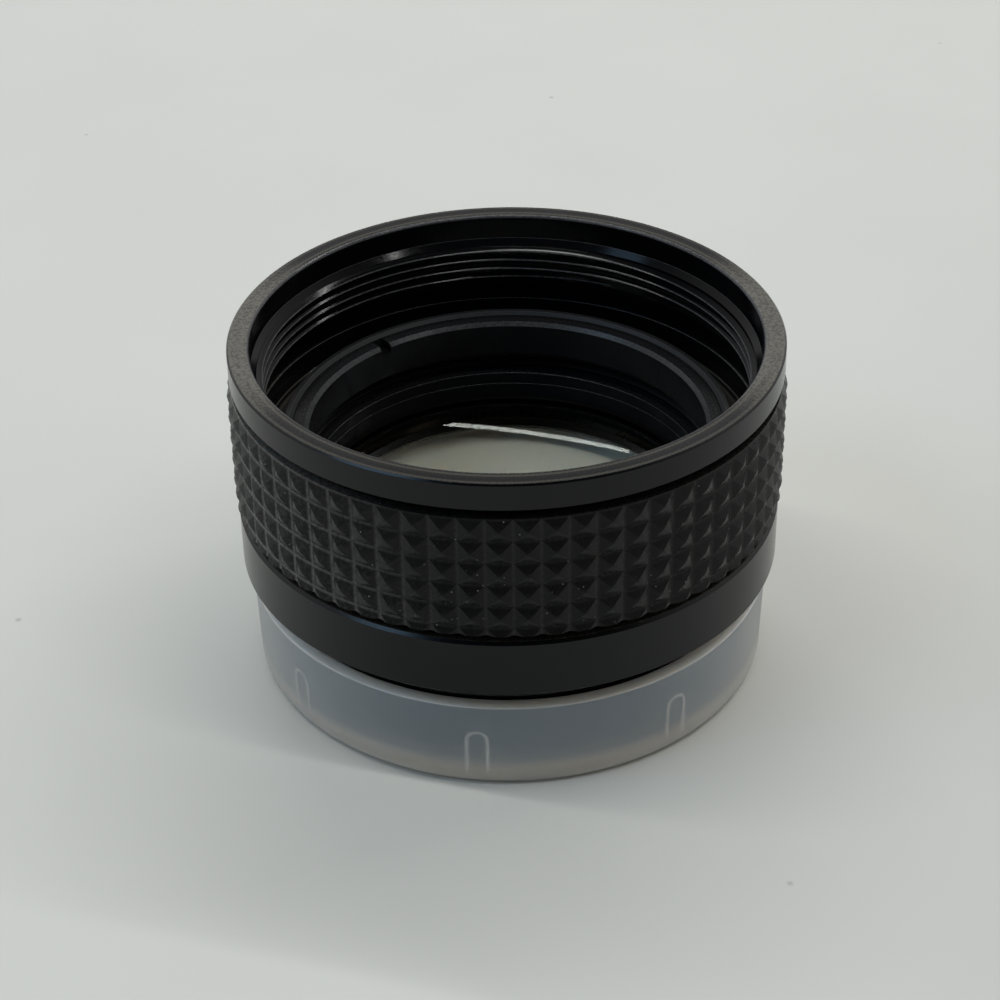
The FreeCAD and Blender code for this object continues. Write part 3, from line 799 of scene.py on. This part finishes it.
def optical_cement():
    """The cemented face: no reflection and no bend, only a faint warm tint."""
    material, tree = new_material("optical_cement")
    place_in = add(tree, "ShaderNodeTexCoord").outputs["Object"]
    cloud = add(tree, "ShaderNodeTexNoise", {"Vector": place_in, "Scale": 1 / cement_cloud, "Detail": 1.0})
    tint = add(tree, "ShaderNodeMix", {0: cloud, 6: linear(cement_clear), 7: linear(cement_warm)},
               data_type="RGBA")
    surface = add(tree, "ShaderNodeBsdfTransparent", {"Color": tint.outputs[2]})
    add(tree, "ShaderNodeOutputMaterial", {"Surface": surface})
    return material


crown_glass = optical_glass("coated_crown_glass", crown_ior, coating_thickness)
rear_glass = optical_glass("bare_crown_glass", crown_ior, 0.0)
flint_glass = optical_glass("coated_flint_glass", flint_ior, coating_thickness)
cement = optical_cement()


def sag(curve, r):
    """Depth of a spherical face of radius curve, r away from the axis."""
    return curve - math.sqrt(curve * curve - r * r)


def spherical(edge_z, edge_r, curve, bulge, steps=24):
    """Rows from the axis to the edge of a spherical face; bulge 1 is up, -1 down."""
    rows = []
    for step in range(steps + 1):
        r = edge_r * step / steps
        z = edge_z + bulge * (sag(curve, edge_r) - sag(curve, r))
        rows.append((r, z, r / curve, bulge * math.sqrt(1 - (r / curve) ** 2), 0.0))
    return rows


def open_up(mesh, numbers):
    """Takes faces out of a mesh, by their numbers."""
    work = bmesh.new()
    work.from_mesh(mesh)
    work.faces.ensure_lookup_table()
    bmesh.ops.delete(work, geom=[work.faces[number] for number in numbers], context="FACES")
    work.to_mesh(mesh)
    work.free()


def lens(name, node, low_face, high_face, glass, cemented):
    """One element from its two faces (edge z, edge r, curve, bulge); cemented says which face is glued.

    The cement joins the two elements, so the crown's face stands for both and the flint has none there.
    """
    edge_z, edge_r, curve, bulge = low_face
    rows = [(r, z, -out * bulge if bulge > 0 else out, -abs(rise), 0.0)
            for r, z, out, rise, mark in spherical(*low_face)]
    kinds = [1 if cemented == "low" else 0] * (len(rows) - 1)
    rows += [(edge_r, edge_z, 0, -1, 0), (lens_r, edge_z, 0, -1, 0), (lens_r, edge_z, 1, 0, 0)]
    kinds += [2, 2, 2]
    edge_z, edge_r, curve, bulge = high_face
    rows += [(lens_r, edge_z, 1, 0, 0), (lens_r, edge_z, 0, 1, 0), (edge_r, edge_z, 0, 1, 0)]
    kinds += [2, 2, 2]
    top = [(r, z, out if bulge > 0 else -out, abs(rise), 0.0)
           for r, z, out, rise, mark in spherical(*high_face)]
    rows += top[::-1]
    kinds += [2] + [1 if cemented == "high" else 0] * (len(top) - 1)
    mesh = lathe(name, rows, lens_sides, closed=False)
    per_face = [kind for kind in kinds for side in range(lens_sides)]
    mesh.polygons.foreach_set("material_index", per_face)
    slot = "crown_glass"
    if glass is flint_glass:
        slot = "flint_glass"
        open_up(mesh, [face for face, kind in enumerate(per_face) if kind == 1])
    piece = place(mesh, "reducer", slot, glass, cement, black_paint)
    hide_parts(node)


front_top = press_low
rear_seat = cell_low + 3.3
front_glued = (front_top - glued_edge, lens_r, glued_curve, -1)
rear_glued = (rear_seat + glued_edge, lens_r, glued_curve, 1)
lens("front_crown", "front_crown_lens", front_glued, (front_top, clear_r, front_curve, 1), crown_glass, "low")
lens("front_flint", "front_flint_lens", (spacer_high, clear_r, flint_curve, -1), front_glued,
     flint_glass, "high")
lens("rear_flint", "rear_flint_lens", rear_glued, (spacer_low, clear_r, flint_curve, 1), flint_glass, "low")
lens("rear_crown", "rear_crown_lens", (rear_seat, clear_r, rear_curve, -1), rear_glued, rear_glass, "high")

# Dust cap
# One shot of milky polyethylene, thin and springy, pushed over the camera thread. Eight ribs
# inside stop the thread; light scatters in the plastic, so the dark barrel shows through grey.

cap_blue = "#A9B5BF"
cap_grey = "#A2AEB8"
# Painted bounce light: warm pale colour of the wall towards its foot.
cap_painted_foot_light = "#F0EBE2"
# Colour of the pale arches, the painted light where each rib shows through the wall.
cap_line = "#D6D5D0"
cap_inside = "#F4F1E8"
# Painted sheen: the paler colour of the wall where it is seen at a slant.
cap_painted_sheen = "#C9C5BC"
# The lip's colour: its pale cut edge and a painted glow of light carried in the wall.
cap_cut_and_glow = "#FBF7F0"
cap_through = "#F4F0EA"
cap_scatter = 0.45
cap_path = (1.2 * mm, 1.1 * mm, 1.0 * mm)
cap_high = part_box("dust_cap")[1]
cap_top = cap_high.z / mm
cap_lip_r = 27.33
cap_foot_r = 27.02
cap_bore_r = 25.5
cap_floor = 1.2
rib_count = 8
rib_first = -52.4
rib_width = 2.35
rib_top = 6.2
rib_seen_above = 0.65
rib_inner_r = 24.8
cap_sides = 720
cap_step = 0.45
rib_shoulder = 0.3
cut_edge = 0.5 * mm
cap_cloud = 2.5 * mm
cap_grain = 0.15 * mm


def milky_polyethylene():
    """Frosted milky plastic: light wanders a few millimetres in it, blue a little less far than red.

    Each rib shows through the wall as a fine pale arch, painted on the outside as painted light.
    The cut lip is painted near white: its pale cut edge and a painted glow of the light carried in
    the wall. Towards the foot the wall is painted warm and pale, a painted bounce light from the
    table, and where it is seen at a slant it is painted paler, a painted sheen.
    """
    material, tree = new_material("milky_polyethylene")
    place_in = add(tree, "ShaderNodeTexCoord").outputs["Object"]
    parts = add(tree, "ShaderNodeSeparateXYZ", {0: place_in})
    turn = add(tree, "ShaderNodeMath", {0: parts.outputs[1], 1: parts.outputs[0]}, operation="ARCTAN2")
    pitch = 2 * math.pi / rib_count
    turn = add(tree, "ShaderNodeMath", {0: turn, 1: pitch / 2 - math.radians(rib_first)}, operation="ADD")
    turn = add(tree, "ShaderNodeMath", {0: turn, 1: pitch}, operation="FLOORED_MODULO")
    turn = add(tree, "ShaderNodeMath", {0: turn, 1: pitch / 2}, operation="SUBTRACT")
    # Painted light: a pale arch where each rib shows through the wall, set a little above the rib.
    across = add(tree, "ShaderNodeMath", {0: turn, 1: cap_lip_r * mm}, operation="MULTIPLY")
    arch_centre = (rib_top + rib_seen_above - rib_width / 2) * mm
    above = add(tree, "ShaderNodeMath", {0: parts.outputs[2], 1: arch_centre}, operation="SUBTRACT")
    above = add(tree, "ShaderNodeMath", {0: above, 1: 0.0}, operation="MAXIMUM")
    arch = add(tree, "ShaderNodeCombineXYZ", {0: across, 1: above})
    arch = add(tree, "ShaderNodeVectorMath", {0: arch}, operation="LENGTH").outputs["Value"]
    arch = add(tree, "ShaderNodeMath", {0: arch, 1: (rib_width / 2 - 0.12) * mm}, operation="SUBTRACT")
    arch = add(tree, "ShaderNodeMath", {0: arch}, operation="ABSOLUTE")
    line = add(tree, "ShaderNodeMapRange", {0: arch, 1: 0.05 * mm, 2: 0.38 * mm, 3: 0.6, 4: 0.0},
               interpolation_type="SMOOTHSTEP")
    foot = add(tree, "ShaderNodeMapRange", {0: parts.outputs[2], 1: 1.2 * mm, 2: 2.6 * mm})
    line = add(tree, "ShaderNodeMath", {0: line, 1: foot}, operation="MULTIPLY")
    flat = add(tree, "ShaderNodeCombineXYZ", {0: parts.outputs[0], 1: parts.outputs[1]})
    radius = add(tree, "ShaderNodeVectorMath", {0: flat}, operation="LENGTH").outputs["Value"]
    floor = add(tree, "ShaderNodeMapRange", {0: radius, 1: (cap_bore_r - 1.5) * mm,
                                             2: (cap_bore_r - 0.5) * mm, 3: 1.0, 4: 0.0})
    # Painted bounce light: the wall is painted warm and pale towards the foot, less so at the sides.
    low = add(tree, "ShaderNodeMapRange", {0: parts.outputs[2], 1: 1.8 * mm, 2: 3.7 * mm, 3: 1.0, 4: 0.0},
              interpolation_type="SMOOTHSTEP")
    facing = add(tree, "ShaderNodeSeparateXYZ", {0: add(tree, "ShaderNodeNewGeometry").outputs["Normal"]})
    # Painted glow: the upward cut lip is painted near white, its pale cut edge and light carried in the wall.
    lip = add(tree, "ShaderNodeMapRange", {0: facing.outputs[2], 1: 0.5, 2: 0.8})
    high = add(tree, "ShaderNodeMapRange", {0: parts.outputs[2], 1: cap_high.z - cut_edge,
                                            2: cap_high.z - cut_edge / 2})
    lip = add(tree, "ShaderNodeMath", {0: lip, 1: high}, operation="MULTIPLY")
    cloud = add(tree, "ShaderNodeTexNoise", {"Vector": place_in, "Scale": 1 / cap_cloud, "Detail": 3.0})
    haze = add(tree, "ShaderNodeMix", {0: cloud, 6: linear(cap_blue), 7: linear(cap_grey)}, data_type="RGBA")
    # Painted sheen: the wall is painted paler, and scatters more, where it is seen at a slant.
    slant = add(tree, "ShaderNodeLayerWeight", {"Blend": 0.5}).outputs["Facing"]
    slant = add(tree, "ShaderNodeMapRange", {0: slant, 1: 0.30, 2: 0.80, 3: 0.0, 4: 0.5})
    haze = add(tree, "ShaderNodeMix", {0: slant, 6: haze.outputs[2], 7: linear(cap_painted_sheen)},
               data_type="RGBA")
    frontal = add(tree, "ShaderNodeMapRange", {0: slant, 1: 0.0, 2: 0.5, 3: 1.0, 4: 0.35})
    low = add(tree, "ShaderNodeMath", {0: low, 1: frontal}, operation="MULTIPLY")
    haze = add(tree, "ShaderNodeMix", {0: low, 6: haze.outputs[2], 7: linear(cap_painted_foot_light)}, data_type="RGBA")
    bright = add(tree, "ShaderNodeMath", {0: line, 1: floor}, operation="MAXIMUM")
    haze = add(tree, "ShaderNodeMix", {0: bright, 6: haze.outputs[2], 7: linear(cap_line)}, data_type="RGBA")
    haze = add(tree, "ShaderNodeMix", {0: floor, 6: haze.outputs[2], 7: linear(cap_inside)}, data_type="RGBA")
    haze = add(tree, "ShaderNodeMix", {0: lip, 6: haze.outputs[2], 7: linear(cap_cut_and_glow)}, data_type="RGBA")
    bright = add(tree, "ShaderNodeMath", {0: bright, 1: lip}, operation="MAXIMUM")
    grain = add(tree, "ShaderNodeTexNoise", {"Vector": place_in, "Scale": 1 / cap_grain, "Detail": 2.0})
    gloss = add(tree, "ShaderNodeMapRange", {0: grain, 1: 0.3, 2: 0.7, 3: 0.34, 4: 0.46})
    height = add(tree, "ShaderNodeMath", {0: line, 1: 3.0}, operation="MULTIPLY")
    height = add(tree, "ShaderNodeMath", {0: height, 1: grain}, operation="ADD")
    bump = add(tree, "ShaderNodeBump", {"Height": height, "Strength": 0.3, "Distance": 0.01 * mm})
    scatter = add(tree, "ShaderNodeBsdfPrincipled", {
        "Base Color": haze.outputs[2], "Roughness": gloss, "IOR": 1.5, "Subsurface Weight": 1.0,
        "Subsurface Radius": cap_path, "Subsurface Scale": 1.0, "Normal": bump})
    through = add(tree, "ShaderNodeBsdfPrincipled", {
        "Base Color": linear(cap_through), "Roughness": 0.55, "IOR": 1.5, "Transmission Weight": 1.0,
        "Normal": bump})
    spread = add(tree, "ShaderNodeBsdfTranslucent", {"Color": linear(cap_through), "Normal": bump})
    through = add(tree, "ShaderNodeMixShader", {0: 0.5, 1: through, 2: spread})
    bright = add(tree, "ShaderNodeMath", {0: bright, 1: slant}, operation="MAXIMUM")
    share = add(tree, "ShaderNodeMath", {0: bright, 1: 1 - cap_scatter}, operation="MULTIPLY")
    share = add(tree, "ShaderNodeMath", {0: share, 1: cap_scatter}, operation="ADD")
    surface = add(tree, "ShaderNodeMixShader", {0: share, 1: through, 2: scatter})
    add(tree, "ShaderNodeOutputMaterial", {"Surface": surface})
    return material


def cap_mesh():
    """The cap's closed wall and floor, with the ribs raised on the inside of the wall."""
    corners = [(0, 0), (cap_foot_r, 0, 1.1), (cap_lip_r, cap_top, 0.12), (cap_bore_r + 0.35, cap_top, 0.1),
               (cap_bore_r, cap_top - 0.6, 0.1), (cap_bore_r, cap_floor, 0.4), (0, cap_floor)]
    rows = [row for row in rounded(corners, steps=5) if row[0] > 1]
    fine = [(0, 0, 0, -1, 0), rows[0]]
    for row in rows[1:]:
        last = fine[-1]
        parts = max(1, math.ceil(math.hypot(row[0] - last[0], row[1] - last[1]) / cap_step))
        for part in range(1, parts + 1):
            fine.append(tuple(last[k] + (row[k] - last[k]) * part / parts for k in range(5)))
    fine.append((0, cap_floor, 0, 1, 0))
    mesh = lathe("dust_cap_moulded", fine, cap_sides, closed=False, true_normals=False)
    spots = np.empty(len(mesh.vertices) * 3)
    mesh.vertices.foreach_get("co", spots)
    spots = spots.reshape(-1, 3) / mm
    radius = np.hypot(spots[:, 0], spots[:, 1])
    turn = np.degrees(np.arctan2(spots[:, 1], spots[:, 0])) - rib_first
    pitch = 360 / rib_count
    across = np.radians((turn + pitch / 2) % pitch - pitch / 2) * cap_bore_r
    above = np.maximum(spots[:, 2] - (rib_top - rib_width / 2), 0)
    outside = np.hypot(across, above) - rib_width / 2
    rise = np.clip(0.5 - outside / rib_shoulder, 0, 1)
    rise = rise * rise * (3 - 2 * rise)
    inner = (radius > rib_inner_r) & (radius < cap_bore_r + 0.01) & (spots[:, 2] > cap_floor - 0.01)
    wanted = np.where(inner, radius - (radius - rib_inner_r) * rise, radius)
    spots[:, :2] *= (wanted / np.maximum(radius, 1e-6))[:, None]
    mesh.vertices.foreach_set("co", (spots * mm).ravel())
    mesh.update()
    mesh.set_sharp_from_angle(angle=math.radians(40))
    return mesh


cap = place(cap_mesh(), "cap", "cap_plastic", milky_polyethylene())
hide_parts("dust_cap")
